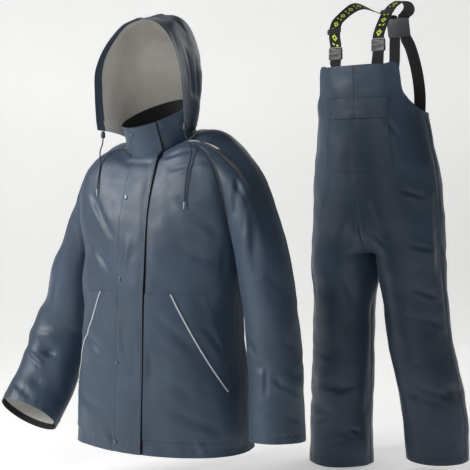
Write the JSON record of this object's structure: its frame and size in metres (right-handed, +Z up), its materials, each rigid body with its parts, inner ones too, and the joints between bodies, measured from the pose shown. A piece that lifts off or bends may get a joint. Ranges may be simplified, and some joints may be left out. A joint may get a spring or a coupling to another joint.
{
  "type": "rain suit",
  "caption": "Two-piece rain suit: a hooded raglan jacket with storm flap and slant pockets, and bib trousers with webbing braces, filled out as worn.",
  "frame": {"origin": "middle of the jacket's neck seam, where the collar meets the body; millimetre source, metres in the row", "axes": "+Z up as worn; +X to the right of the picture, towards the trousers; +Y away from the viewer. The jacket faces -Y turned 30 degrees towards -X, the trousers 33 degrees, and the trousers stand behind and to the right of the jacket"},
  "size_m": [1.3748, 0.8644, 1.4442],
  "materials": {
    "coated_cloth": "navy-slate coated rain cloth, satin face over a knitted backing",
    "zip": "black woven zip tape with moulded teeth",
    "webbing": "black woven elastic webbing",
    "reflective": "silver reflective piping",
    "snap_metal": "slate enamelled press snaps and rivets",
    "buckle_plastic": "moulded grey acetal",
    "cord": "braided navy cord",
    "tip_plastic": "light grey moulded tips"
  },
  "bodies": {
    "root": {"brace_back_patch": "webbing", "brace_back_strap_left": "webbing", "brace_back_strap_right": "webbing", "brace_buckle_left": "buckle_plastic", "brace_buckle_right": "buckle_plastic", "brace_front_strap_left": "webbing", "brace_front_strap_right": "webbing", "brace_lower_strap_left": "webbing", "brace_lower_strap_right": "webbing", "brace_slider_left": "buckle_plastic", "brace_slider_right": "buckle_plastic", "hood_cord_left": "cord", "hood_cord_lock_left": "buckle_plastic", "hood_cord_lock_right": "buckle_plastic", "hood_cord_right": "cord", "hood_cord_tip_left": "tip_plastic", "hood_cord_tip_right": "tip_plastic", "jacket_back": "coated_cloth", "jacket_collar": "coated_cloth", "jacket_collar_snap": "snap_metal", "jacket_flap_snap_1": "snap_metal", "jacket_flap_snap_2": "snap_metal", "jacket_flap_snap_3": "snap_metal", "jacket_flap_snap_4": "snap_metal", "jacket_flap_snap_5": "snap_metal", "jacket_front_left": "coated_cloth", "jacket_front_right": "coated_cloth", "jacket_hood_left": "coated_cloth", "jacket_hood_right": "coated_cloth", "jacket_pocket_facing_left": "coated_cloth", "jacket_pocket_facing_right": "coated_cloth", "jacket_pocket_left": "coated_cloth", "jacket_pocket_piping_left": "reflective", "jacket_pocket_piping_right": "reflective", "jacket_pocket_right": "coated_cloth", "jacket_pocket_rivet_left": "snap_metal", "jacket_pocket_rivet_right": "snap_metal", "jacket_sleeve_left": "coated_cloth", "jacket_sleeve_right": "coated_cloth", "jacket_storm_flap": "coated_cloth", "jacket_zip": "zip", "trousers_back_left": "coated_cloth", "trousers_back_right": "coated_cloth", "trousers_chest_flap": "coated_cloth", "trousers_chest_pocket": "coated_cloth", "trousers_flap_snap_left": "snap_metal", "trousers_flap_snap_right": "snap_metal", "trousers_front_left": "coated_cloth", "trousers_front_right": "coated_cloth"}
  },
  "joints": []
}
